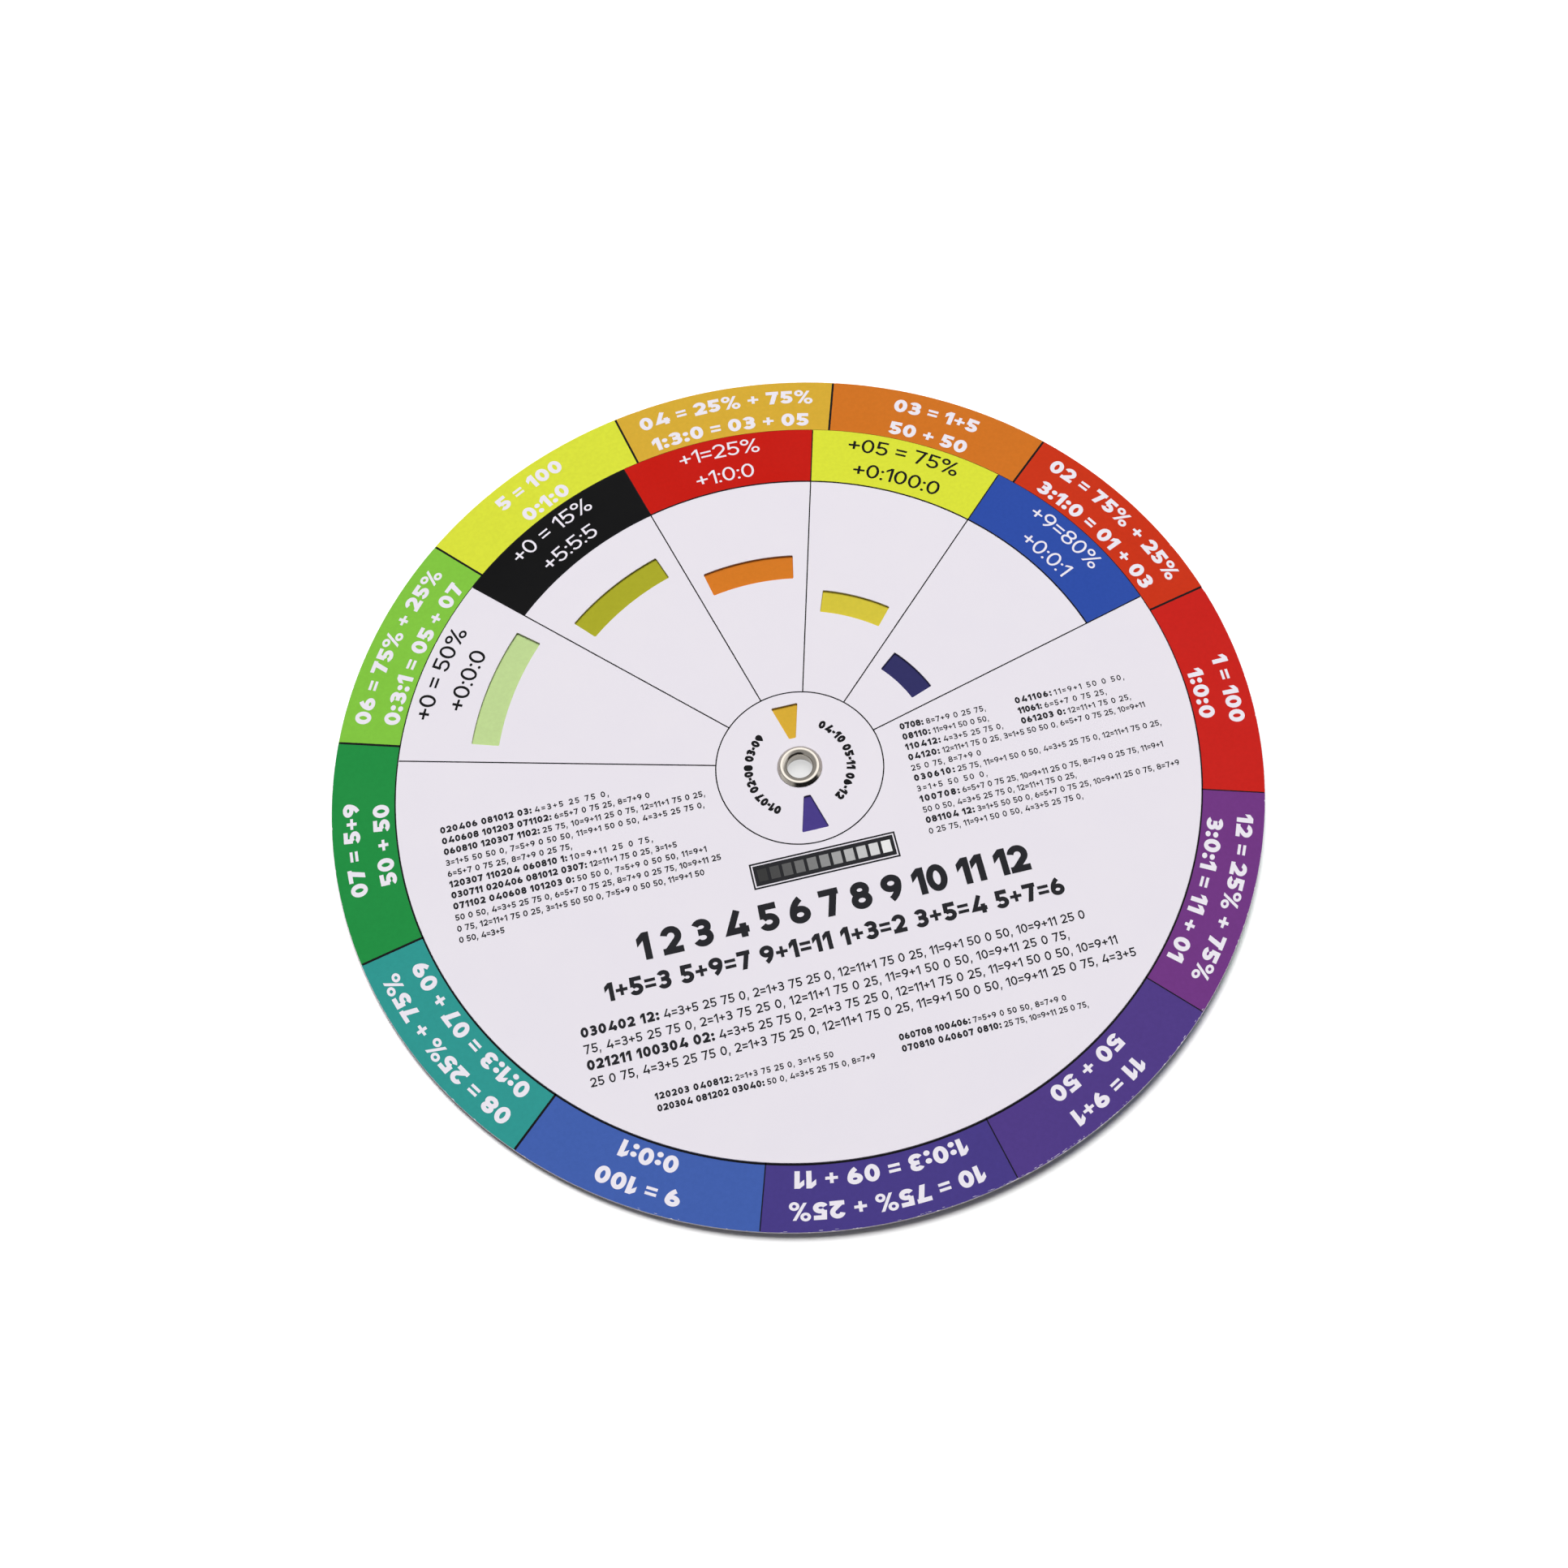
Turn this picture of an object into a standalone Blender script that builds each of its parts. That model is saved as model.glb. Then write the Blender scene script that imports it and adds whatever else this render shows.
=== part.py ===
"""A colour mixing wheel: a printed card wheel between two die-cut card dials, all three turning on one
hollow eyelet. Metres, +Z up, the eyelet's axis on Z, and the front dial's upright along +Y."""

import math

import bmesh
import bpy
from mathutils import Vector

# Card discs
wheel_radius = 0.1175
rim_width = 0.0161
wheel_thickness = 0.0006
front_dial_thickness = 0.00045
back_dial_thickness = 0.00045
slip_gap = 0.00015

# Eyelet, one drawn and rolled sheet-metal tube
eyelet_bore_radius = 0.0032
eyelet_sheet = 0.0003
flange_radius = 0.0057
flange_rise = 0.0009
roll_radius = 0.0050
roll_flat_width = 0.0006
running_clearance = 0.0001

# Mixing windows of the front dial, one to each sector of its upper half
sector_angle = math.radians(30)
mixing_radius_shares = (0.37, 0.475, 0.575, 0.68, 0.79)
mixing_span_shares = (0.583, 0.683, 0.75, 0.75, 0.767)
first_mixing_height = 0.0045
mixing_height = 0.0070

# Complement windows of the front dial, two tapers that point at each other across the eyelet
complement_inner_radius = 0.0082
complement_height = 0.0095
complement_inner_width = 0.0017
complement_outer_width = 0.0069
complement_angles = (math.radians(90), math.radians(270))

# Value windows of the back dial, four in one sector: pure colour, tint, tone and shade
value_angle = math.radians(90)
value_radius_shares = (0.44, 0.57, 0.70, 0.83)
value_span_share = 0.7
value_height = 0.0080

# Rounding that the cutting rule leaves in a window's corner
window_corner_radius = 0.0003

# Facets
disc_steps = 180
bore_steps = 48
arc_step = math.radians(2)
corner_steps = 3
section_steps = 12
eyelet_steps = 48

# Fits and places that follow from the sizes above
dial_radius = wheel_radius - rim_width
card_bore_radius = eyelet_bore_radius + eyelet_sheet + running_clearance
roll_section_radius = (roll_radius - eyelet_bore_radius) / 2
crest_radius = flange_radius - flange_rise
funnel_width = crest_radius - eyelet_bore_radius
roll_centre_height = math.sqrt(roll_section_radius**2 - (roll_flat_width / 2) ** 2)
back_dial_bottom = roll_centre_height + slip_gap
wheel_bottom = back_dial_bottom + back_dial_thickness + slip_gap
front_dial_bottom = wheel_bottom + wheel_thickness + slip_gap
front_face = front_dial_bottom + front_dial_thickness
flange_seat = front_face + slip_gap
funnel_depth = flange_rise + slip_gap


def clear_scene():
    for found in list(bpy.data.objects):
        bpy.data.objects.remove(found)


def finish(name, colour, roughness, metallic):
    """A plain finish of one colour, given in linear red, green and blue."""
    material = bpy.data.materials.new(name)
    material.use_nodes = True
    shader = material.node_tree.nodes["Principled BSDF"]
    shader.inputs["Base Color"].default_value = (*colour, 1)
    shader.inputs["Roughness"].default_value = roughness
    shader.inputs["Metallic"].default_value = metallic
    return material


def placed(name, form, height, material):
    """One object made of the form, with its origin on the eyelet's axis at this height."""
    bmesh.ops.recalc_face_normals(form, faces=form.faces)
    mesh = bpy.data.meshes.new(name)
    form.to_mesh(mesh)
    form.free()
    mesh.shade_smooth()
    mesh.set_sharp_from_angle(angle=math.radians(35))
    mesh.materials.append(material)
    made = bpy.data.objects.new(name, mesh)
    made.location.z = height
    bpy.context.scene.collection.objects.link(made)
    return made


def at(radius, angle):
    return Vector((radius * math.cos(angle), radius * math.sin(angle)))


def arc(radius, start, end, steps):
    """Points along an arc about the axis, its two ends included."""
    return [at(radius, start + (end - start) * step / steps) for step in range(steps + 1)]


def ring(radius, steps):
    return arc(radius, 0, math.tau, steps)[:-1]


def round_corners(outline):
    """The closed outline with each sharp corner turned by an arc tangent to both its sides."""
    rounded = []
    for index, corner in enumerate(outline):
        back = (outline[index - 1] - corner).normalized()
        ahead = (outline[(index + 1) % len(outline)] - corner).normalized()
        half = back.angle(ahead) / 2
        if half > math.radians(75):
            rounded.append(corner)
            continue
        bisector = (back + ahead).normalized()
        centre = corner + bisector * window_corner_radius / math.sin(half)
        first = corner + back * window_corner_radius / math.tan(half) - centre
        last = corner + ahead * window_corner_radius / math.tan(half) - centre
        turn = first.angle_signed(last)
        start = math.atan2(first.y, first.x)
        for step in range(corner_steps + 1):
            rounded.append(centre + at(window_corner_radius, start - turn * step / corner_steps))
    return rounded


def arched_window(middle_radius, height, angle, span):
    """A window between two arcs about the axis, with radial ends."""
    steps = round(span / arc_step)
    outer = arc(middle_radius + height / 2, angle - span / 2, angle + span / 2, steps)
    inner = arc(middle_radius - height / 2, angle + span / 2, angle - span / 2, steps)
    return round_corners(outer + inner)


def tapered_window(angle):
    """A straight-sided window that narrows towards the axis."""
    outwards = at(1, angle)
    across = at(1, angle + math.pi / 2)
    near = outwards * complement_inner_radius
    far = outwards * (complement_inner_radius + complement_height)
    near_half = across * complement_inner_width / 2
    far_half = across * complement_outer_width / 2
    return round_corners([near + near_half, near - near_half, far - far_half, far + far_half])


def card_disc(name, radius, windows, bottom, thickness, material):
    """A flat disc of card, cut with the eyelet's hole and the windows, then given its thickness."""
    form = bmesh.new()
    edges = []
    for outline in (ring(radius, disc_steps), ring(card_bore_radius, bore_steps), *windows):
        corners = [form.verts.new((*point, 0)) for point in outline]
        for index, corner in enumerate(corners):
            edges.append(form.edges.new((corners[index - 1], corner)))
    bmesh.ops.triangle_fill(form, edges=edges, use_beauty=True, normal=(0, 0, 1))
    raised = bmesh.ops.extrude_face_region(form, geom=list(form.faces), use_keep_orig=True)
    top = [part for part in raised["geom"] if isinstance(part, bmesh.types.BMVert)]
    bmesh.ops.translate(form, vec=(0, 0, thickness), verts=top)
    return placed(name, form, bottom, material)


def section_arc(centre_radius, centre_height, across, up, start, end):
    """Points in the eyelet's section, as distance from the axis and height, on an arc of the ellipse
    that reaches this far across and up from its centre."""
    turn = end - start
    steps = max(1, round(section_steps * abs(turn) / math.pi))
    angles = [start + turn * step / steps for step in range(steps + 1)]
    return [
        Vector((centre_radius + across * math.cos(angle), centre_height + up * math.sin(angle)))
        for angle in angles
    ]


def flange_arcs(thinner):
    """The flange from its edge over the crest, and the funnel from the crest down to the bore. The
    hidden side is thinner than the seen side by the sheet."""
    edge_turn = flange_rise - thinner
    upright = math.radians(90)
    edge = section_arc(crest_radius, flange_seat, edge_turn, edge_turn, 0, upright)
    across, down = funnel_width - thinner, funnel_depth - thinner
    return edge + section_arc(crest_radius, front_face, across, down, upright, math.pi)[1:]


def eyelet_section():
    """The closed outline of the sheet: over the flange, down the bore, round the roll, and back outside."""
    middle, height = eyelet_bore_radius + roll_section_radius, roll_centre_height
    outer, inner = roll_section_radius, roll_section_radius - eyelet_sheet
    flat_turn = math.asin(roll_flat_width / 2 / outer)
    down = math.radians(270)
    seen = flange_arcs(0)
    seen += section_arc(middle, height, outer, outer, math.pi, down - flat_turn)
    seen += section_arc(middle, height, outer, outer, down + flat_turn, math.tau)
    hidden = section_arc(middle, height, inner, inner, math.tau, math.pi)
    return seen + hidden + flange_arcs(eyelet_sheet)[::-1]


def turned_eyelet(material):
    form = bmesh.new()
    profile = [form.verts.new((radius, 0, height)) for radius, height in eyelet_section()]
    edges = [form.edges.new((profile[index - 1], point)) for index, point in enumerate(profile)]
    bmesh.ops.spin(
        form,
        geom=profile + edges,
        axis=(0, 0, 1),
        cent=(0, 0, 0),
        angle=math.tau,
        steps=eyelet_steps,
        use_merge=True,
    )
    return placed("eyelet", form, 0, material)


def mixing_windows():
    cuts = []
    for index, radius_share in enumerate(mixing_radius_shares):
        height = mixing_height if index else first_mixing_height
        span = sector_angle * mixing_span_shares[index]
        cuts.append(
            arched_window(dial_radius * radius_share, height, sector_angle * (index + 1), span)
        )
    return cuts


def value_windows():
    span = sector_angle * value_span_share
    return [
        arched_window(dial_radius * radius_share, value_height, value_angle, span)
        for radius_share in value_radius_shares
    ]


clear_scene()
card_disc(
    "back_dial",
    dial_radius,
    value_windows(),
    back_dial_bottom,
    back_dial_thickness,
    finish("white_card_back", (0.80, 0.78, 0.83), 0.45, 0),
)
card_disc(
    "wheel",
    wheel_radius,
    [],
    wheel_bottom,
    wheel_thickness,
    finish("printed_card", (0.45, 0.12, 0.30), 0.40, 0),
)
card_disc(
    "front_dial",
    dial_radius,
    mixing_windows() + [tapered_window(angle) for angle in complement_angles],
    front_dial_bottom,
    front_dial_thickness,
    finish("white_card_front", (0.82, 0.80, 0.85), 0.45, 0),
)
turned_eyelet(finish("nickel_plate", (0.66, 0.63, 0.59), 0.2, 1))
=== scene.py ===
"""A colour mixing wheel, dressed for the picture: printed card, a rolled nickel eyelet, a white table,
soft studio light and the photograph's camera. Lengths are in metres, in the frame of the CAD solids."""

import itertools
import math
from collections import deque
from functools import cache

import bpy
import numpy as np
from mathutils import Matrix, Vector
from mathutils.geometry import delaunay_2d_cdt


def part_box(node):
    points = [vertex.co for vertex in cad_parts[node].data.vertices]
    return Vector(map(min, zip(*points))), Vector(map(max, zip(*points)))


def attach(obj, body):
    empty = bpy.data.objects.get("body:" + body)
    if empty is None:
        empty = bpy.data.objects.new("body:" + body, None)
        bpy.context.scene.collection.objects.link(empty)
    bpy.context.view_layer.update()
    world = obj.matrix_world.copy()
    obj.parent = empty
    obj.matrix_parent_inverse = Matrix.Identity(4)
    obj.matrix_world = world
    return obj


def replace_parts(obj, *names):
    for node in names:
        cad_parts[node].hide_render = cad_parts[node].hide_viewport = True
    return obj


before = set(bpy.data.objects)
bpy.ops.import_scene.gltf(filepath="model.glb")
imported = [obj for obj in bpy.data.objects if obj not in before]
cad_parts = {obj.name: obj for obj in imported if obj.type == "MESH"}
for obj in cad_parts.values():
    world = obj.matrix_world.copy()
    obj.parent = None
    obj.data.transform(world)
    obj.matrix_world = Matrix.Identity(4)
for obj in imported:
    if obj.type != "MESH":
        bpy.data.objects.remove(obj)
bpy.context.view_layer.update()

mm = 0.001

# The wheel is one disc of bleached board, 0.6 mm thick, clay coated and calendered on both sides.
# It is stamped from the printed sheet with a steel rule, which leaves a raw, duller fibre edge.
board_white = "#EAE5ED"
coat_tints, fibre_tints = ("#E8E3EC", "#ECE7EE"), ("#BDB4B8", "#DDD6DA")
board_finish = (0.36, 0.46)
coating_patch, coating_grain, coating_relief = 12 * mm, 0.55 * mm, 0.004 * mm
fibre_spacing = 0.12 * mm  # coarser than real fibres, so that it still shows from half a metre
varnish_level = 0.05  # a satin varnish that shows little of a dim room
bore_cut = 3.6 * mm
pressed_edge, lifted_edge = 0.12 * mm, 0.05 * mm


def channels(colour):
    """Red, green and blue of a hex colour, from 0 to 255."""
    return np.array([int(colour[place : place + 2], 16) for place in (1, 3, 5)])


def linear(colour):
    """sRGB hex to linear red, green, blue and a full alpha: the 2.4 power of (value + 0.055) / 1.055, or
    a straight line for the darkest values, by the standard."""
    values = channels(colour) / 255
    curved = ((values + 0.055) / 1.055) ** 2.4
    return (*map(float, np.where(values <= 0.04045, values / 12.92, curved)), 1.0)


def add_node(tree, kind, settings=None, links=None):
    """Adds one node. Settings are its options or its inputs' values. A link names an input and gives
    the socket that feeds it, or a node whose first output does."""
    node = tree.nodes.new("ShaderNode" + kind)
    for name, value in (settings or {}).items():
        if isinstance(name, str) and hasattr(node, name):
            setattr(node, name, value)
        else:
            node.inputs[name].default_value = value
    for name, source in (links or {}).items():
        tree.links.new(getattr(source, "outputs", [source])[0], node.inputs[name])
    return node


def bare_material(name, colour, **sockets):
    """A material with only its Principled shader, whose even values are set on the shader itself."""
    material = bpy.data.materials.new(name)
    material.use_nodes = True
    shader = material.node_tree.nodes["Principled BSDF"]
    shader.inputs["Base Color"].default_value = linear(colour)
    for socket, value in sockets.items():
        shader.inputs[socket.replace("_", " ")].default_value = value
    return material, material.node_tree, shader


def calendered(tree, shader, finish):
    """The coating's finish: roughness drifts in soft patches and the surface has a faint, close grain."""
    place = add_node(tree, "TexCoord")
    across = {"Vector": place.outputs["Object"]}
    patches = add_node(tree, "TexNoise", {"Scale": 1 / coating_patch, "Detail": 3.0}, across)
    ends = {"From Min": 0.35, "From Max": 0.65, "To Min": finish[0], "To Max": finish[1]}
    roughness = add_node(tree, "MapRange", ends, {"Value": patches})
    grain = add_node(tree, "TexNoise", {"Scale": 1 / coating_grain, "Detail": 4.0}, across)
    relief = add_node(tree, "Bump", {"Strength": 0.5, "Distance": coating_relief}, {"Height": grain})
    tree.links.new(roughness.outputs["Result"], shader.inputs["Roughness"])
    tree.links.new(relief.outputs["Normal"], shader.inputs["Normal"])
    return place, patches


def coated_board(name):
    """White clay-coated board with a satin face, and dull pale fibre where the steel rule cut it: what
    looks more than halfway up or down is face."""
    material, tree, shader = bare_material(name, board_white, Specular_IOR_Level=varnish_level)
    place, patches = calendered(tree, shader, board_finish)
    upright = add_node(tree, "SeparateXYZ", links={"Vector": place.outputs["Normal"]})
    level = add_node(tree, "Math", {"operation": "ABSOLUTE"}, {0: upright.outputs["Z"]})
    face = add_node(tree, "Math", {"operation": "GREATER_THAN", 1: 0.5}, {0: level})
    torn = {"Scale": 1 / fibre_spacing, "Detail": 5.0, "Roughness": 0.7}
    fibres = add_node(tree, "TexNoise", torn, {"Vector": place.outputs["Object"]})
    shades = []
    for (low, high), pattern in ((fibre_tints, fibres), (coat_tints, patches)):
        tints = {"data_type": "RGBA", 6: linear(low), 7: linear(high)}
        shades.append(add_node(tree, "Mix", tints, {0: pattern}).outputs[2])
    colour = add_node(tree, "Mix", {"data_type": "RGBA"}, {0: face, 6: shades[0], 7: shades[1]})
    tree.links.new(colour.outputs[2], shader.inputs["Base Color"])
    return material


def arc(centre, radii, start, end, turn_steps):
    """Points on a circle, or on an ellipse of two radii, from one angle to another in degrees, without
    the last when it closes."""
    steps = max(3, round(abs(end - start) / 360 * turn_steps))
    angles = np.radians(np.linspace(start, end, steps + 1))
    path = np.array(centre) + np.array(radii) * np.stack([np.cos(angles), np.sin(angles)], axis=1)
    return path[:-1] if abs(end - start) == 360 else path


def sideways(path, closed):
    """For each point, the step to the path's left that sets its sides out by one, mitred at bends."""
    around = np.concatenate([path[-1:], path, path[:1]]) if closed else path
    steps = np.diff(around, axis=0)
    steps /= np.linalg.norm(steps, axis=1)[:, None]
    sides = np.stack([-steps[:, 1], steps[:, 0]], axis=1)
    if not closed:
        sides = np.concatenate([sides[:1], sides, sides[-1:]])
    mitre = sides[:-1] + sides[1:]
    return 2 * mitre / (mitre**2).sum(axis=1)[:, None]


def cut_edge(low, high):
    """The section of a cut edge, as distance set in and height: a quarter circle where the rule pressed
    the upper side down, the straight wall, and a small quarter circle below."""
    turns = np.radians(np.linspace(0, 90, 5))
    pressed = np.stack([1 - np.sin(turns), np.cos(turns) - 1], axis=1) * pressed_edge
    lifted = np.stack([1 - np.sin(turns), 1 - np.cos(turns)], axis=1)[::-2] * lifted_edge
    return np.concatenate([pressed + (0, high), lifted + (0, low)])


def numbered(paths):
    """For each path, the places of its points in one row of all the paths' points."""
    starts = np.cumsum([0] + [len(path) for path in paths])
    return [list(range(a, b)) for a, b in itertools.pairwise(starts)]


def placed(name, data):
    """A new object in the scene, with this mesh, lamp or camera."""
    thing = bpy.data.objects.new(name, data)
    bpy.context.scene.collection.objects.link(thing)
    return thing


def carried(name, mesh, body):
    """A piece of this mesh that rides on a body and takes its finish from a slot."""
    piece = placed(name, mesh)
    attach(piece, body)
    return piece


def die_cut(name, holes):
    """A card in its node's box, which is returned. Its outer circle and its holes run with the board on
    their left; each is carried down the cut edge's section. Triangles that lie to the left of all close
    both faces."""
    low, high = (Vector(corner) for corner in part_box(name))
    edge = cut_edge(low.z, high.z)
    points, walls, rims = [], [], []
    for path in (arc((0, 0), high.x, 0, 360, 720), *holes):
        steps = len(path)
        set_in = path + sideways(path, True) * edge[:, None, :1]
        heights = np.broadcast_to(edge[:, None, 1:], (len(edge), steps, 1))
        here = np.arange(len(edge) * steps).reshape(-1, steps) + sum(len(done) for done in points)
        ahead = np.roll(here, -1, axis=1)
        points.append(np.concatenate([set_in, heights], axis=2).reshape(-1, 3))
        walls.append(np.stack([here[:-1], here[1:], ahead[1:], ahead[:-1]], axis=2).reshape(-1, 4))
        rims.append(here[0])
    points, upper = np.concatenate(points), np.concatenate(rims)
    flat = [Vector(point) for point in points[upper, :2] / mm]
    _, _, triangles, sources, _, covered = delaunay_2d_cdt(flat, [], numbered(rims), 1, 1e-5, True)
    order = np.array([source[0] for source in sources])
    cap = order[np.array([t for t, under in zip(triangles, covered) if len(under) == len(rims)])]
    down = np.concatenate([np.full(len(rim), len(rim) * (len(edge) - 1)) for rim in rims])
    faces = [*np.concatenate(walls).tolist(), *upper[cap].tolist()]
    faces += (upper + down)[cap][:, ::-1].tolist()
    mesh = bpy.data.meshes.new(name + "_board")
    mesh.from_pydata(points, [], faces)
    mesh.polygons.foreach_set("use_smooth", [len(face) == 4 for face in faces])
    mesh.materials.append(board)
    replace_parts(carried(name + "_board", mesh, name), name)
    return low, high


board = coated_board("clay_coated_board")
card_bore = arc((0, 0), bore_cut, 360, 0, 96)
wheel_low, wheel_high = die_cut("wheel", [card_bore])
wheel_radius = wheel_high.x

# The wheel's front is offset printed in one pass: twelve hues round the rim, five rings of mixed hues
# under the dial's windows, and the pure hues again by the hub. The stamped rim has chipped the ink.
hue_inks = (
    "#C6241E", "#C8351A", "#CF7325", "#D6AB38", "#DAE13E", "#82C442",
    "#238B42", "#329690", "#4360AC", "#483C84", "#503C84", "#703881",
)  # fmt: skip
ink_finish = (0.34, 0.42)
mottle_size, mottle_depth = 0.9 * mm, 0.03
first_hue_angle = math.radians(-2.5)
hue_step = math.tau / len(hue_inks)
ring_line_radius, ring_line_width = 101.65 * mm, 0.4 * mm
divider_widths = np.repeat([0.58, 0.3], [8, 4]) * mm  # the last four are ruled finer
divider_tuck, divider_stop = 2.0 * mm, 0.25 * mm  # under the dial, and short of the rim
ink_film = 0.02 * mm  # a real film is a few micrometres, and this keeps it clear of the board
second_film = 0.012 * mm
dial_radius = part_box("front_dial")[1][0]
mixing_radii = dial_radius * np.array([0.37, 0.475, 0.575, 0.68, 0.79])
inner_overhang, outer_overhang = 4.6 * mm, 5.4 * mm
hub_print = (7.4 * mm, 18.6 * mm)
overprints = (("#222E84", 0.8), ("#D5E84C", 0.75), ("#C8280B", 0.24), ("#2F2607", 0.165))
outer_tint = ("#FCEAE6", 0.5)
rim_bleed = 0.1 * mm
chip_count, worn_angle, worn_spread = 60, -1.3, 0.3  # and as many again where the rim is worn


def sheet_of(inner, outer, start, end, steps):
    """A flat annular sector: even angles from start to end, each joining an inner and an outer radius.
    Either radius may be an array with one value for each angle."""
    angles = np.linspace(start, end, steps + 1)
    radii = np.stack([np.broadcast_to(inner, angles.shape), np.broadcast_to(outer, angles.shape)])
    points = np.stack([radii * np.cos(angles), radii * np.sin(angles)], axis=-1).reshape(-1, 2)
    near = np.arange(steps)
    far = near + steps + 1
    halves = [np.stack([near, far, far + 1], 1), np.stack([near, far + 1, near + 1], 1)]
    return points, np.concatenate(halves)


def strip_of(start, end, width):
    """A straight flat strip from one point to another: each end is set out by half the width."""
    start, end = np.array(start), np.array(end)
    along = (end - start) / np.linalg.norm(end - start)
    aside = np.array([-along[1], along[0]]) * width / 2
    points = np.array([start - aside, end - aside, end + aside, start + aside])
    return points, np.array([[0, 1, 2], [0, 2, 3]])


def radial_strip(inner, outer, angle, width):
    ray = np.array([math.cos(angle), math.sin(angle)])
    return strip_of(ray * inner, ray * outer, width)


def ring_of(radius, width, steps=720):
    return sheet_of(radius - width / 2, radius + width / 2, 0, math.tau, steps)


def printed(name, parts, height, body, inks=None, underside=False):
    """One printed film from flat parts (points, triangles, ink). An ink is a place in inks, or a hex
    colour that goes on the faces' own attribute. An underside is mirrored, to be read from below."""
    points, triangles, tints = zip(*parts)
    starts = np.cumsum([0] + [len(done) for done in points[:-1]])
    counts = [len(faces) for faces in triangles]
    flat = np.concatenate(points) * ((-1, 1) if underside else (1, 1))
    places = np.column_stack([flat, np.full(len(flat), height)])
    corners = np.concatenate([faces + start for faces, start in zip(triangles, starts)])
    mesh = bpy.data.meshes.new(name)
    mesh.from_pydata(places, [], corners, shade_flat=False)
    for material in inks or [process_ink]:
        mesh.materials.append(material)
    if inks:
        mesh.polygons.foreach_set("material_index", np.repeat(tints, counts))
    else:
        shades = np.repeat([linear(tint) for tint in tints], 3 * np.array(counts), axis=0)
        mesh.attributes.new("ink", "FLOAT_COLOR", "CORNER").data.foreach_set("color", shades.ravel())
    mesh.validate()
    return carried(name, mesh, body)


def process_inks():
    """Offset ink under a satin aqueous varnish: the colour is the faces' own, a touch mottled."""
    material, tree, shader = bare_material("offset_ink", board_white, Specular_IOR_Level=varnish_level)
    place, _ = calendered(tree, shader, ink_finish)
    own = add_node(tree, "Attribute", {"attribute_name": "ink"})
    spots = {"Scale": 1 / mottle_size, "Detail": 2.0}
    mottle = add_node(tree, "TexNoise", spots, {"Vector": place.outputs["Object"]})
    ends = {"From Min": 0.3, "From Max": 0.7, "To Min": 1 - mottle_depth, "To Max": 1 + mottle_depth}
    density = add_node(tree, "MapRange", ends, {"Value": mottle})
    colour = add_node(tree, "VectorMath", {"operation": "SCALE"}, {0: own, "Scale": density})
    tree.links.new(colour.outputs[0], shader.inputs["Base Color"])
    return material


def text_ink(name, colour):
    """Ink of fine lines and numerals: too small to mottle, so it has only the varnish's finish."""
    material, tree, shader = bare_material(name, colour, Specular_IOR_Level=varnish_level)
    calendered(tree, shader, ink_finish)
    return material


def hex_of(values):
    return "#" + "".join(f"{round(float(value)):02X}" for value in np.clip(values, 0, 255))


def overprinted(hue, ink, share):
    """Two inks worked together: each channel is the weighted geometric mean of the two."""
    return hex_of(channels(hue) ** (1 - share) * channels(ink).astype(float) ** share)


def let_down(hue, ink, share):
    """An ink let down with white or grey: the weighted plain mean, which keeps it fresh."""
    return hex_of(channels(hue) * (1 - share) + channels(ink) * share)


def hue_angle(hue):
    return first_hue_angle + hue_step * hue


def hue_cells(inner, outer, colours, steps=30):
    """Twelve equal sectors side by side, each centred on its hue's angle."""
    cells = []
    for hue, colour in enumerate(colours):
        start = hue_angle(hue) - hue_step / 2
        rim = outer(np.linspace(start, start + hue_step, steps + 1)) if callable(outer) else outer
        cells.append((*sheet_of(inner, rim, start, start + hue_step, steps), colour))
    return cells


def ring_cells(radii, inside, outside, rings):
    """Rings of hue cells for the windows at these radii, which meet midway between them."""
    between = (radii[1:] + radii[:-1]) / 2
    edges = [radii[0] - inside, *between, radii[-1] + outside]
    spans = itertools.pairwise(edges)
    return sum((hue_cells(*span, ring) for span, ring in zip(spans, rings)), [])


chips = np.random.default_rng(11)
chip_angles = chips.uniform(0, math.tau, chip_count), chips.normal(worn_angle, worn_spread, chip_count)
chip_angles = np.concatenate(chip_angles)
chip_widths = chips.uniform(0.1, 0.6, chip_angles.size) * mm
chip_depths = chips.uniform(0.02, 0.14, chip_angles.size) * mm


def chipped_rim(angles):
    """The ink's outer radius: the board's, less a bleed, less the deepest chip at that angle.
    A chip is a parabola of its own width and depth."""
    turns = np.mod(angles[:, None] - chip_angles[None, :] + math.pi, math.tau) - math.pi
    across = turns * wheel_radius / chip_widths
    depth = np.clip(1 - across**2, 0, None) * chip_depths
    return wheel_radius - rim_bleed - depth.max(axis=1)


process_ink = process_inks()
line_inks = (
    text_ink("black_text_ink", "#121214"),
    text_ink("unprinted_white", "#EDE8F1"),
    text_ink("charcoal_text_ink", "#232327"),
)
BLACK, WHITE, CHARCOAL = range(3)

mixed_rings = [[overprinted(hue, *ink) for hue in hue_inks] for ink in overprints]
mixed_rings.append([let_down(hue, *outer_tint) for hue in hue_inks])
rim_cells = hue_cells(ring_line_radius, chipped_rim, hue_inks, steps=400)
front_parts = rim_cells + hue_cells(*hub_print, hue_inks)
front_parts += ring_cells(mixing_radii, inner_overhang, outer_overhang, mixed_rings)
wheel_face = wheel_high.z + ink_film
printed("wheel_front_print", front_parts, wheel_face, "wheel")

# The rim's figures are white board left bare in the colour. Each hue has its number and, below it,
# its parts of red, yellow and blue. They are drawn as strokes of one width, bold on the rim.
figure_gap_share, word_space_share = 0.12, 0.4
rim_stretch = 1.2
rim_figure_height = 4.1 * mm
rim_line_radii = (112.6 * mm, 105.2 * mm)
bold, book, light, fine = 0.25, 0.165, 0.134, 0.118


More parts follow.
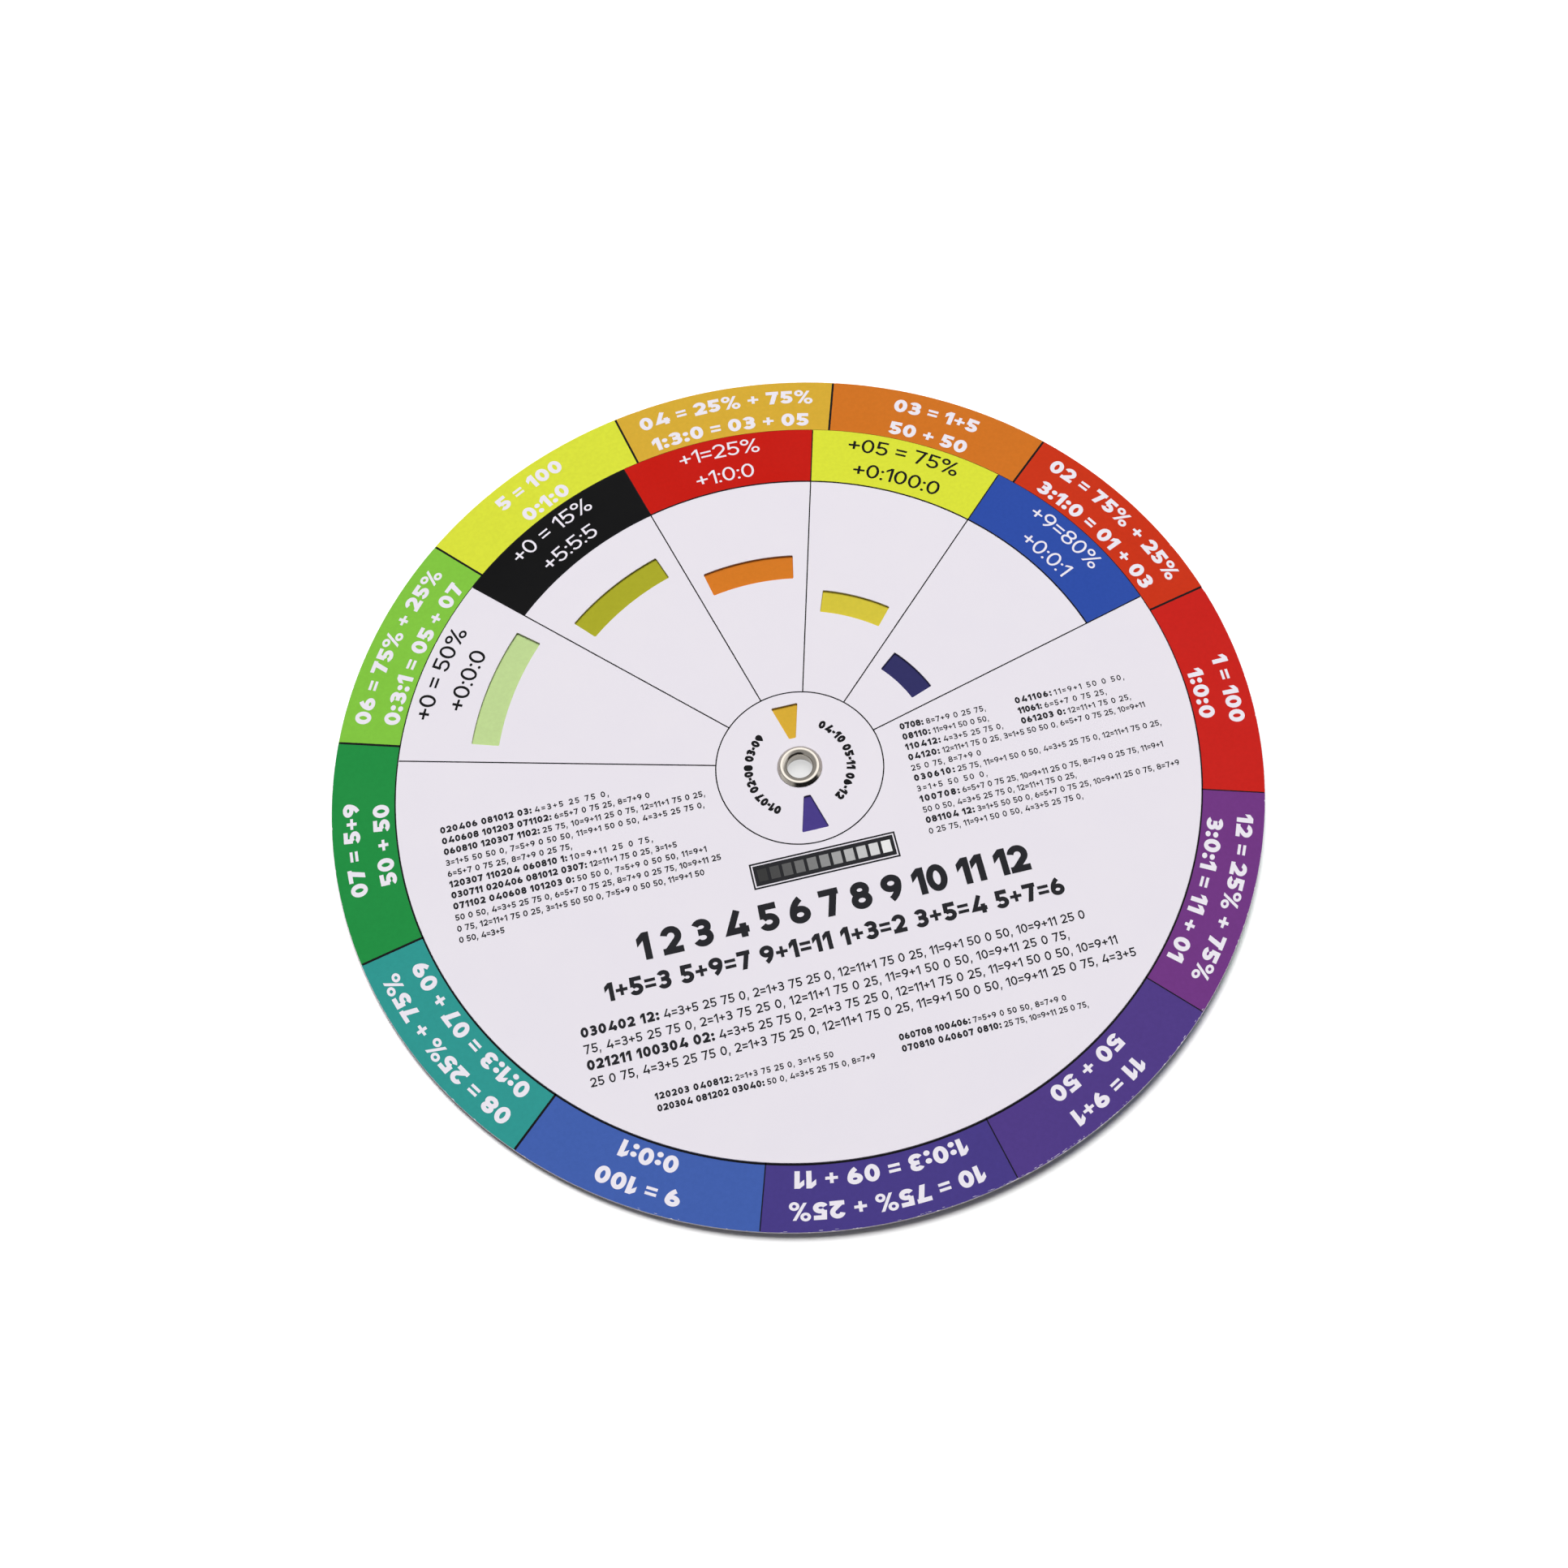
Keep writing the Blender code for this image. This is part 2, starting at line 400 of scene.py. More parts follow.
def stroked(path, width, closed=False):
    """Quads along a path, whose points are set out to both sides by half the width."""
    path = np.asarray(path, float)
    half = sideways(path, closed) * width / 2
    left, right = path + half, path - half
    ends = len(path) if closed else len(path) - 1
    ahead = (np.arange(ends) + 1) % len(path)
    return list(np.stack([right[:ends], right[ahead], left[ahead], left[:ends]], axis=1))


def figure_strokes(figure, width, steps):
    """The strokes of one figure, one unit high, as convex polygons that overlap where strokes meet."""
    half, wide, tall = width / 2, 0.60 + 0.5 * width, 1 - width
    side, middle, lower = wide / 2 - half, wide / 2, 0.32 - half
    high, low = 0.235 * tall, 0.265 * tall
    bar, dot, tail, slant = min(width, 0.17), 0.62 * width, 1.3 * width, 1.25 * width
    straight = {
        "4": ([(0.42, 1), (0.06, 0.27), (0.72, 0.27)], [(0.53, 0.51), (0.53, 0)]),
        "+": ([(0, 0.48), (0.6, 0.48)], [(0.3, 0.18), (0.3, 0.78)]),
        "=": ([(0, 0.33), (0.56, 0.33)], [(0, 0.64), (0.56, 0.64)]),
        "-": ([(0, 0.45), (0.36, 0.45)],),
    }

    def bend(y, across, up, start, end):
        path = arc((middle, y), (across, up), start, end, steps)
        return stroked(path, width, end - start == 360)

    if figure in straight:
        return sum((stroked(path, bar if figure in "+=" else width) for path in straight[figure]), [])
    if figure == "0":
        return bend(0.5, side, 0.5 - half, 0, 360)
    if figure == "1":
        stem = 0.26 + 0.8 * width
        left = stem - width
        flag = [(0, 0.8), (0, 0.8 - slant), (left, 1 - slant), (left, 1)]
        return [np.array([(left, 0), (stem, 0), (stem, 1), (left, 1)]), np.array(flag)]
    if figure == "2":
        top = arc((middle, 1 - half - side), side, 168, -45, steps)
        foot = top[-1] - (top[-1][1] - half)
        return stroked([*top, foot], width) + stroked([(0.02, half), (wide, half)], width)
    if figure == "3":
        waist = half + 2 * low
        strokes = bend(1 - half - high, 0.9 * side, high, 158, -90)
        strokes += bend(half + low, side, low, 90, -158)
        return strokes + stroked([(middle - 0.14, waist), (middle, waist)], width)
    if figure == "5":
        roof = [(wide - 0.03, 1 - half), (0.09 + half, 1 - half), (0.07 + half, 0.46)]
        return stroked(roof, width) + bend(half + lower, side, lower, 138, -158)
    if figure in "69":
        reach = 0.802 - half
        neck = arc((half + reach, half + lower), reach, 180, 122, 2 * steps)
        strokes = bend(half + lower, side, lower, 0, 360) + stroked(neck, width)
        return strokes if figure == "6" else [np.array([wide, 1]) - stroke for stroke in strokes]
    if figure == "7":
        level = 1.09 * width
        leg = [(0.16, 0), (0.16 + level, 0), (wide - 0.03, 1), (wide - 0.03 - level, 1)]
        return stroked([(0, 1 - half), (wide - 0.03, 1 - half)], width) + [np.array(leg)]
    if figure == "8":
        return bend(1 - half - high, 0.88 * side, high, 0, 360) + bend(half + low, side, low, 0, 360)
    if figure == ",":
        return [np.array([(0, -tail), (dot, -tail), (2 * dot, width), (0.4 * dot, width)])]
    if figure == "%":
        rings = [arc((x, y), 0.17, 0, 360, steps) for x, y in ((0.2, 0.8), (0.74, 0.2))]
        slash = np.array([(0.14, 0), (0.14 + bar, 0), (0.8, 1), (0.8 - bar, 1)])
        return sum((stroked(ring, 0.9 * bar, True) for ring in rings), [slash])
    return [arc((dot, y), dot, 0, 360, steps) for y in (dot, 0.62)]


@cache
def figure_shape(figure, width, steps):
    """The union of a figure's strokes as flat triangles, moved to start at x = 0, and its width.
    A constrained triangulation cuts the strokes where they cross and drops what none of them covers."""
    strokes = figure_strokes(figure, width, steps)
    corners = [Vector(point) for point in np.concatenate(strokes)]
    found, _, triangles, _, _, covered = delaunay_2d_cdt(corners, [], numbered(strokes), 0, 1e-5, True)
    kept = np.array([t for t, under in zip(triangles, covered) if under])
    points = np.array([tuple(point) for point in found])
    a, b, c = (points[kept[:, corner]] for corner in range(3))
    turned = (b - a)[:, 0] * (c - a)[:, 1] < (b - a)[:, 1] * (c - a)[:, 0]
    kept[turned] = kept[turned][:, ::-1]
    points[:, 0] -= points[kept.ravel(), 0].min()
    return points, kept, float(points[kept.ravel(), 0].max())


def easy_length(text, height, weight, stretch=1.0, steps=14):
    """How long a line of figures is when each is set beside the last with the even gap."""
    figures = text.replace(" ", "")
    widths = sum(figure_shape(figure, weight, steps)[2] for figure in figures) * stretch
    gaps = figure_gap_share * (len(figures) - 1)
    return height * (widths + gaps + word_space_share * text.count(" "))


def set_line(text, height, weight, measure=None, stretch=1.0, steps=14):
    """A line of figures from x = 0 on the baseline y = 0, with its length and height. Each is set beside
    the last with an even gap, and what a measure leaves over is shared out among all the gaps."""
    spare = 0.0
    if measure:
        left_over = (measure - easy_length(text, height, weight, stretch, steps)) / height
        spare = left_over / (len(text) - 1)
    pen, points, triangles, count = 0.0, [], [], 0
    for figure in text:
        if figure == " ":
            pen += word_space_share + spare
            continue
        shape, faces, width = figure_shape(figure, weight, steps)
        points.append(shape * (stretch, 1) + (pen, 0))
        triangles.append(faces + count)
        count += len(shape)
        pen += width * stretch + figure_gap_share + spare
    length = (pen - figure_gap_share - spare) * height
    return np.concatenate(points) * height, np.concatenate(triangles), length, height


def set_straight(line, left, baseline):
    return line[0] + (left, baseline), line[1]


def set_round(line, radius, angle, tops=1):
    """A line bent round the axis, centred on an angle, its tops outwards, or inwards where tops is minus
    one: distance along the baseline becomes an angle at mid height, and height above it a radius."""
    points, triangles, length, height = line
    turns = angle - tops * (points[:, 0] - length / 2) / radius
    radii = radius - tops * (height / 2 - points[:, 1])
    return np.stack([radii * np.cos(turns), radii * np.sin(turns)], axis=1), triangles


def parts_of(hue):
    """Red, yellow and blue parts of hue 1 to 12: four shared by its two nearest primaries, reduced."""
    primary, past = divmod(hue - 1, 4)
    parts = [0, 0, 0]
    parts[primary] = 4 - past
    parts[(primary + 1) % 3] = past
    return [part // math.gcd(*parts) for part in parts]


def ratio(hue):
    return ":".join(str(part) for part in parts_of(hue))


def recipe(hue):
    """A primary is only its number, a secondary has the primaries two steps away, and a tertiary has
    its neighbours."""
    reach = (0, 1, 2, 1)[(hue - 1) % 4]
    return f"{hue}={hue - reach}+{(hue + reach - 1) % 12 + 1}" if reach else str(hue)


def rim_words(hue):
    """The rim's two lines for a hue: how much of each primary it holds, and its parts."""
    past = (hue - 1) % 4
    if past == 0:
        return f"{hue} = 100", ratio(hue)
    near, far = recipe(hue).split("=")[1].split("+")
    if past == 2:
        return f"{hue:02d} = {near}+{far}", "50 + 50"
    return f"{hue:02d} = {100 - 25 * past}% + {25 * past}%", f"{ratio(hue)} = {near:>02} + {far:>02}"


rim_parts = [(*ring_of(ring_line_radius, ring_line_width), BLACK)]
for hue, width in enumerate(divider_widths):
    inner, outer = dial_radius - divider_tuck, wheel_radius - divider_stop
    rim_parts.append((*radial_strip(inner, outer, hue_angle(hue) + hue_step / 2, width), BLACK))
for hue in range(1, 13):
    for text, radius in zip(rim_words(hue), rim_line_radii):
        line = set_line(text, rim_figure_height, bold, stretch=rim_stretch, steps=36)
        rim_parts.append((*set_round(line, radius, hue_angle(hue - 1)), WHITE))

# Flecks are bare fibres that the rule tore from the worn side, just inside the rim.
fleck_count, fleck_angle, flecks = 46, -1.38, []
drawn = [chips.normal(fleck_angle, worn_spread, fleck_count)]
for ends in ((0.2, 0.9), (0.04, 0.09), (0.28, 0.45)):  # lengths, widths and depths
    drawn.append(chips.uniform(*ends, fleck_count) * mm)
for angle, length, width, depth in zip(*drawn):
    radius = wheel_radius - depth
    fleck = sheet_of(radius - width, radius, angle, angle + length / wheel_radius, 4)
    flecks.append((*fleck, WHITE))
printed("wheel_front_figures", rim_parts + flecks, wheel_face + second_film, "wheel", line_inks)

# The wheel's back has the same rim, read from below, and four rings for the back dial's windows:
# the pure hue, its tint, its tone and its shade, each let down from the same twelve inks.
value_radii = dial_radius * np.array([0.44, 0.57, 0.70, 0.83])
value_inks = (("#F2F0F2", 0.5), ("#8C8C90", 0.5), ("#17171A", 0.45))
value_overhang = 6.0 * mm
value_rings = [hue_inks, *([let_down(hue, *ink) for hue in hue_inks] for ink in value_inks)]
back_parts = rim_cells + ring_cells(value_radii, value_overhang, value_overhang, value_rings)
wheel_back = wheel_low.z - ink_film
printed("wheel_back_print", back_parts, wheel_back, "wheel", underside=True)
printed("wheel_back_figures", rim_parts, wheel_back - second_film, "wheel", line_inks, True)

# The front dial is thinner board, stamped with seven windows. Its upper half is ruled in sectors, one
# to each window, and a coloured band on each says which ink the window adds to the rim's hue.
window_corner = 0.3 * mm
sector = math.radians(30)
mixing_spans = (19.3, 20.4, 22.5, 22.5, 23.0)
mixing_heights = np.array([6.0, 6.45, 7.0, 7.0, 7.0]) * mm
complement_near, complement_far = 8.2 * mm, 17.7 * mm
complement_widths = np.array([1.7, 6.9]) * mm


def arched_window(middle, height, angle, span):
    """A hole between two arcs about the axis, with radial ends, run clockwise. Each corner is an arc
    whose centre lies one corner radius in from its circle and from its end. Angles are in degrees."""
    outer, inner = middle + height / 2, middle - height / 2
    far, near = outer - window_corner, inner + window_corner
    far_lean, near_lean = (math.degrees(math.asin(window_corner / r)) for r in (far, near))
    low, high = angle - span / 2, angle + span / 2

    def corner(radius, turn, start, end):
        centre = radius * np.array([np.cos(np.radians(turn)), np.sin(np.radians(turn))])
        return arc(centre, window_corner, start, end, 16)

    anticlockwise = [
        arc((0, 0), outer, low + far_lean, high - far_lean, 720),
        corner(far, high - far_lean, high - far_lean, high + 90)[1:],
        corner(near, high - near_lean, high + 90, high - near_lean + 180),
        arc((0, 0), inner, high - near_lean, low + near_lean, 720)[1:],
        corner(near, low + near_lean, low + near_lean + 180, low + 270)[1:],
        corner(far, low + far_lean, low + 270, low + far_lean + 360)[:-1],
    ]
    return np.concatenate(anticlockwise)[::-1]


def tapered_window(side):
    """A straight-sided hole that narrows towards the axis, run clockwise, above the axis where side is
    one and below it where it is minus one. A corner's arc runs between its two sides' normals."""
    near, far = complement_widths / 2
    right = [(near, complement_near), (far, complement_far)]
    left = [(-far, complement_far), (-near, complement_near)]
    corners = side * np.array(right + left)
    centres = corners + sideways(corners, True) * window_corner
    across, up = (np.roll(corners, -1, axis=0) - corners).T
    normals = np.degrees(np.arctan2(-across, up))
    arcs = []
    for centre, before, after in zip(centres, np.roll(normals, 1), normals):
        arcs.append(arc(centre, window_corner, before, before + (after - before) % 360, 16))
    return np.concatenate(arcs)[::-1]


mixing_windows = [
    arched_window(radius, height, math.degrees(sector) * (place + 1), span)
    for place, (radius, height, span) in enumerate(zip(mixing_radii, mixing_heights, mixing_spans))
]
dial_holes = [card_bore, *mixing_windows, tapered_window(1), tapered_window(-1)]
front_high = die_cut("front_dial", dial_holes)[1]
front_face = front_high.z + ink_film
dial_flat = dial_radius - pressed_edge
hub_line_radius = 21.2 * mm
band_inner_radius = 85.05 * mm
rule_width, band_line_width = 0.32 * mm, 0.4 * mm
first_rule = math.radians(15)
band_inks = ("#2F4DA4", "#DBE23C", "#C31C13", "#0A0A0B")
band_line_radii = (97.4 * mm, 89.7 * mm)
band_figure_height = 4.3 * mm
band_words = (
    ("+9=80%", "+0:0:1", WHITE), ("+05 = 75%", "+0:100:0", BLACK), ("+1=25%", "+1:0:0", WHITE),
    ("+0 = 15%", "+5:5:5", WHITE), ("+0 = 50%", "+0:0:0", BLACK),
)  # fmt: skip

# The bands' ink is carried over the pressed edge of the card, down its quarter circle.
band_rings = [band_inner_radius, *(dial_flat + pressed_edge * np.sin(np.radians((0, 30, 60, 90))))]
band_parts = []
for place, ink in enumerate(band_inks):
    start = first_rule + sector * place
    for inner, outer in itertools.pairwise(band_rings):
        band_parts.append((*sheet_of(inner, outer, start, start + sector, 60), ink))
bands = printed("front_dial_bands", band_parts, front_face, "front_dial")
places = np.empty(3 * len(bands.data.vertices))
bands.data.vertices.foreach_get("co", places)
places = places.reshape(-1, 3)
past = np.clip(np.hypot(*places[:, :2].T) - dial_flat, 0, pressed_edge)
places[:, 2] -= pressed_edge - np.sqrt(pressed_edge**2 - past**2)
bands.data.vertices.foreach_set("co", places.ravel())


def ruled(places):
    """The ring round the hub, and a rule outwards at each of these places, which are a sector apart."""
    lines = [(*ring_of(hub_line_radius, rule_width, 360), BLACK)]
    for place in places:
        rule = radial_strip(hub_line_radius, dial_flat, first_rule + sector * place, rule_width)
        lines.append((*rule, BLACK))
    return lines


dial_lines = ruled(range(6))
band_end = first_rule + sector * len(band_inks)
under_bands = band_inner_radius - band_line_width
dial_lines.append((*sheet_of(under_bands, band_inner_radius, first_rule, band_end, 240), BLACK))
for place, (*words, ink) in enumerate(band_words):
    weight = fine if ink == WHITE else light
    for text, radius in zip(words, band_line_radii):
        line = set_line(text, band_figure_height, weight, stretch=rim_stretch, steps=36)
        dial_lines.append((*set_round(line, radius, sector * (place + 1)), ink))

# The dial's lower half is set in plain figures: mixing recipes in small type, the twelve hues in large
# type, and a stepped grey scale in a double frame. Round the hub stand the complement pairs.
# A line's two lengths in millimetres are its bold lead's, or none, and its own.
left_lines = (
    (23.0, 42.5), (27.5, 52.4), (24.0, 65.9), (0, 65.1), (0, 31.0), (29.3, 50.8), (33.7, 56.3),
    (30.0, 63.2), (0, 66.2), (0, 61.4), (0, 11.1),
)  # fmt: skip
right_lines = (
    (6.2, 22.6), (7.3, 22.6), (9.2, 25.6), (8.2, 62.5), (0, 18.2), (10.6, 65.0), (0, 18.2),
    (10.3, 63.7), (0, 39.9), (12.6, 66.2), (0, 39.9),
)  # fmt: skip
wide_lines = ((19.0, 125.0), (0, 119.8), (30.8, 130.8), (0, 134.3))
lead_height_share, lead_gap_share = 1.12, 0.45  # a lead stands as tall as capitals


def set_lead(hues, height, measure):
    """A bold lead: two-figure hue numbers, three to a group, as many figures as fit, and a colon."""
    numbers = [f"{hue:02d}" for hue in hues * 2]
    groups = " ".join("".join(numbers[place : place + 3]) for place in range(0, len(numbers), 3))
    ends = (count for count in range(1, len(groups)) if groups[count - 1] != " ")
    fits = [end for end in ends if easy_length(groups[:end] + ":", height, bold) < measure + height / 3]
    return set_line(groups[: fits[-1]] + ":", height, bold, measure)


def set_text(words, height, weight, measure):
    """As many words as fit, taken off the front of the run and set to the full measure."""
    text = words.popleft()
    while easy_length(f"{text} {words[0]}", height, weight) < measure + height / 2:
        text += " " + words.popleft()
    return set_line(text, height, weight, measure)


def block(left, top, lines, hues, height, pitch, weight):
    """Lines of type down from a corner: recipes, each with its red, yellow and blue in hundredths."""
    words, parts = deque(), []
    for hue in hues[1:] * 12:
        shares = (str(100 * part // sum(parts_of(hue))) for part in parts_of(hue))
        words.extend(f"{recipe(hue)} {' '.join(shares)},".split())
    for row, (lead, measure) in enumerate(lines):
        baseline, start = top - height / 2 - pitch * row, left
        if lead:
            line = set_lead(hues[row % len(hues) :] + hues, lead_height_share * height, lead * mm)
            parts.append((*set_straight(line, left, baseline), CHARCOAL))
            start += lead * mm + lead_gap_share * height
        line = set_text(words, height, weight, left + measure * mm - start)
        parts.append((*set_straight(line, start, baseline), CHARCOAL))
    return parts


for left, top, lines, hues, height, pitch, weight in (
    (-90.7, 4.6, left_lines, (2, 4, 6, 8, 10, 12, 3, 7, 11), 1.6, 2.97, 0.185),
    (27.2, 4.6, right_lines, (7, 8, 11, 4, 12, 3, 6, 10), 1.6, 2.97, 0.165),
    (57.7, 4.6, ((9.7, 29.1), (6.3, 23.5), (11.7, 29.1)), (4, 11, 6, 12, 3), 1.6, 2.97, 0.165),
    (-66.4, -55.65, wide_lines, (3, 4, 2, 12, 11, 10), 2.3, 4.13, 0.155),
    (-52.3, -75.15, ((18.6, 43.1), (25.7, 52.6)), (12, 2, 3, 4, 8), 1.5, 2.9, 0.18),
    (6.9, -75.15, ((17.6, 41.4), (24.5, 46.1)), (6, 7, 8, 10, 4), 1.5, 2.9, 0.18),
):
    dial_lines += block(left * mm, top * mm, lines, hues, height * mm, pitch * mm, weight)

title = " ".join(str(hue) for hue in range(1, 13))
subtitle = "1+5=3 5+9=7 9+1=11 1+3=2 3+5=4 5+7=6"
for text, left, baseline, height, measure, weight in (
    (title, -49.1, -41.2, 7.2, 98.5, 0.235),
    (subtitle, -58.9, -49.4, 4.75, 114.7, 0.235),
):
    line = set_line(text, height * mm, weight, measure * mm, steps=40)
    dial_lines.append((*set_straight(line, left * mm, baseline * mm), CHARCOAL))

pair_height, pair_radius, pair_length = 2.3 * mm, 13.0 * mm, 25.0 * mm
pair_weight, pair_stretch = 0.3, 0.95
for text, middle in (("01-07 02-08 03-09", 180.3), ("04-10 05-11 06-12", -0.5)):
    line = set_line(text, pair_height, pair_weight, pair_length, stretch=pair_stretch, steps=20)
    dial_lines.append((*set_round(line, pair_radius, math.radians(middle)), BLACK))

scale_x, scale_y = 0.25 * mm, -26.45 * mm
frame_width, frame_height, frame_line, frame_gap = 37.1 * mm, 6.9 * mm, 0.42 * mm, 0.33 * mm
for side in (1, -1):
    edge, reach = scale_y + side * (frame_height - frame_line) / 2, frame_width / 2
    level = strip_of((scale_x - reach, edge), (scale_x + reach, edge), frame_line)
    edge, reach = scale_x + side * (frame_width - frame_line) / 2, frame_height / 2 - frame_line
    upright = strip_of((edge, scale_y - reach), (edge, scale_y + reach), frame_line)
    dial_lines += [(*level, CHARCOAL), (*upright, CHARCOAL)]
printed("front_dial_figures", dial_lines, front_face + second_film, "front_dial", line_inks)

scale_steps, bar_ink = 11, "#262629"
darkest_grey, grey_range = 55, 178
inset = 2 * (frame_line + frame_gap)
bar_width, bar_height = frame_width - inset, frame_height - inset
swatch_height = 0.6 * bar_height
rail_height = (bar_height - swatch_height) / 2
step_width = bar_width / (scale_steps + 0.3)
swatch_width = 0.74 * step_width
scale_left, scale_right = scale_x - bar_width / 2, scale_x + bar_width / 2
scale_parts = []
for side in (-1, 1):
    rail = scale_y + side * (swatch_height + rail_height) / 2
    scale_parts.append((*strip_of((scale_left, rail), (scale_right, rail), rail_height), bar_ink))
middles = scale_x + step_width * (np.arange(scale_steps) - (scale_steps - 1) / 2)
swatch_ends = middles[:, None] + np.array([-0.5, 0.5]) * swatch_width
ends = itertools.pairwise([scale_left, *swatch_ends.ravel(), scale_right])
for place, (start, end) in enumerate(ends):
    grey = darkest_grey + grey_range * (place // 2) / (scale_steps - 1)
    cell = strip_of((start, scale_y), (end, scale_y), swatch_height)
    scale_parts.append((*cell, hex_of(np.full(3, grey)) if place % 2 else bar_ink))
printed("front_dial_grey_scale", scale_parts, front_face, "front_dial")

# The back dial is the same board, with four windows in one sector for a hue's pure colour, tint, tone
# and shade. Below the hub are the four ways of choosing hues, as line figures in a ring of dots.
value_height, value_span = 8.0 * mm, 21.0
value_words = ("0", "+ 100 %", "+ 50 %", "+ 0 %")
value_figure_height, value_word_gap = 3.4 * mm, 3.0 * mm
harmony_radius, dot_radius = 13.5 * mm, 1.5 * mm
harmony_clearance, harmony_line = 2.1 * mm, 0.45 * mm
number_height, number_reach = 1.9 * mm, 1.28
harmonies = (
    ((-60.0, -14.0), (0, 6)),
    ((60.0, -14.0), (0, 4, 8)),
    ((-29.0, -45.0), (0, 3, 6, 9)),
    ((29.0, -45.0), (0, 5, 7)),
)
value_windows = [arched_window(radius, value_height, 90, value_span) for radius in value_radii]
back_low = die_cut("back_dial", [card_bore, *value_windows])[0]
back_face = back_low.z - ink_film

back_lines = ruled((2, 3))
for text, radius in zip(value_words, value_radii):
    line = set_line(text, value_figure_height, light, steps=30)
    turn = math.radians(90) + sector / 2 + (line[2] / 2 + value_word_gap) / radius
    back_lines.append((*set_round(line, radius, turn), BLACK))
dots = []
for centre, picked in harmonies:
    middle = np.array(centre) * mm
    turns = hue_step * np.arange(12)
    corners = middle + harmony_radius * np.stack([np.sin(turns), np.cos(turns)], axis=1)
    points, triangles = sheet_of(0, dot_radius, 0, math.tau, 24)
    for hue, corner in enumerate(corners):
        dots.append((points + corner, triangles, hue_inks[hue]))
        number = set_line(str(hue + 1), number_height, bold, steps=18)
        away = middle + (corner - middle) * number_reach
        centred = away - (number[2] / 2, number_height / 2)
        back_lines.append((*set_straight(number, *centred), CHARCOAL))
    for here, there in zip(picked, picked[1:] + picked[:1]):
        pull = (corners[there] - corners[here]) / np.linalg.norm(corners[there] - corners[here])
        start = corners[here] + pull * harmony_clearance
        end = corners[there] - pull * harmony_clearance
        if len(picked) > 2 or here < there:
            back_lines.append((*strip_of(start, end, harmony_line), BLACK))

# Along the back dial's edge runs a grey scale in steps of a tenth, outlined because its last is white.
grey_start, grey_end, grey_steps = math.radians(225), math.radians(315), 11
grey_inner, grey_outer, grey_line = 82 * mm, 92 * mm, 0.3 * mm
grey_figure_height, grey_figure_radius = 2.4 * mm, 78 * mm
blackest_grey, back_grey_range = 25, 205
grey_step = (grey_end - grey_start) / grey_steps
for radius in (grey_inner, grey_outer):
    inner, outer = radius - grey_line / 2, radius + grey_line / 2
    back_lines.append((*sheet_of(inner, outer, grey_start, grey_end, 12 * grey_steps), BLACK))
for angle in (grey_start, grey_end):
    inner, outer = grey_inner + grey_line / 2, grey_outer - grey_line / 2
    back_lines.append((*radial_strip(inner, outer, angle, grey_line), BLACK))
for step in range(grey_steps):
    start = grey_start + grey_step * step
    cell = sheet_of(grey_inner, grey_outer, start, start + grey_step, 12)
    grey = blackest_grey + back_grey_range * step / (grey_steps - 1)
    dots.append((*cell, hex_of(np.full(3, grey))))
    line = set_line(str(step * 10), grey_figure_height, book, steps=18)
    bent = set_round(line, grey_figure_radius, start + grey_step / 2, tops=-1)
    back_lines.append((*bent, BLACK))
printed("back_dial_dots", dots, back_face, "back_dial", underside=True)
printed("back_dial_figures", back_lines, back_face - second_film, "back_dial", line_inks, True)

# The eyelet is drawn from thin brass strip and nickel plated. The press raised its flange to a crest and
# sank a funnel from there to the bore. A setting punch then curled its barrel back under the cards.
bore_radius = 3.2 * mm
flange_radius, flange_rise = 5.7 * mm, 0.9 * mm
crest_radius, crest_turn = 4.8 * mm, 0.36 * mm
roll_radius, roll_flat = 5.0 * mm, 0.6 * mm
eyelet_sheet = 0.3 * mm
around_steps, section_steps = 160, 88
nickel_colour, nickel_finish = "#B2ACA3", (0.1, 0.18)
punch_marks, mark_depth, smear_size = 0.25 * mm, 0.01 * mm, 1.5 * mm
eyelet_top, dial_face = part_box("eyelet")[1][2], front_high.z
lean_run, lean_drop = flange_radius - crest_radius, flange_rise - crest_turn
flange_lean = math.atan2(lean_drop, lean_run) + math.asin(crest_turn / math.hypot(lean_run, lean_drop))


def seen_side():
    """The side of the sheet that shows, from the flange's edge: a straight lean tangent to a tight turn
    over the crest, a quarter ellipse that ends upright in the bore, the barrel, the curl and its flat."""
    curl = (roll_radius - bore_radius) / 2
    flat_turn = math.degrees(math.asin(roll_flat / 2 / curl))
    crest = (crest_radius, eyelet_top - crest_turn)
    funnel = (crest_radius - bore_radius, eyelet_top - dial_face)
    middle = (bore_radius + curl, math.sqrt(curl**2 - (roll_flat / 2) ** 2))
    stretches = [
        [(flange_radius, eyelet_top - flange_rise)],
        arc(crest, crest_turn, 90 - math.degrees(flange_lean), 90, section_steps),
        arc((crest_radius, dial_face), funnel, 90, 180, section_steps)[1:],
        arc(middle, curl, 180, 270 - flat_turn, section_steps),
        arc(middle, curl, 270 + flat_turn, 360, section_steps),
    ]
    return np.concatenate(stretches)


def lathe(profile, steps):
    """A closed section turned round the axis: rows are the section's points, columns even angles."""
    angles = np.linspace(0, math.tau, steps, endpoint=False)
    radii, heights = profile[:, :1], profile[:, 1:]
    turned = [radii * np.cos(angles), radii * np.sin(angles), heights + 0 * angles]
    here = np.arange(len(profile) * steps).reshape(-1, steps)
    below = np.roll(here, -1, axis=0)
    quads = [here, np.roll(here, -1, axis=1), np.roll(below, -1, axis=1), below]
    return np.stack(turned, axis=-1).reshape(-1, 3), np.stack(quads, axis=-1).reshape(-1, 4)


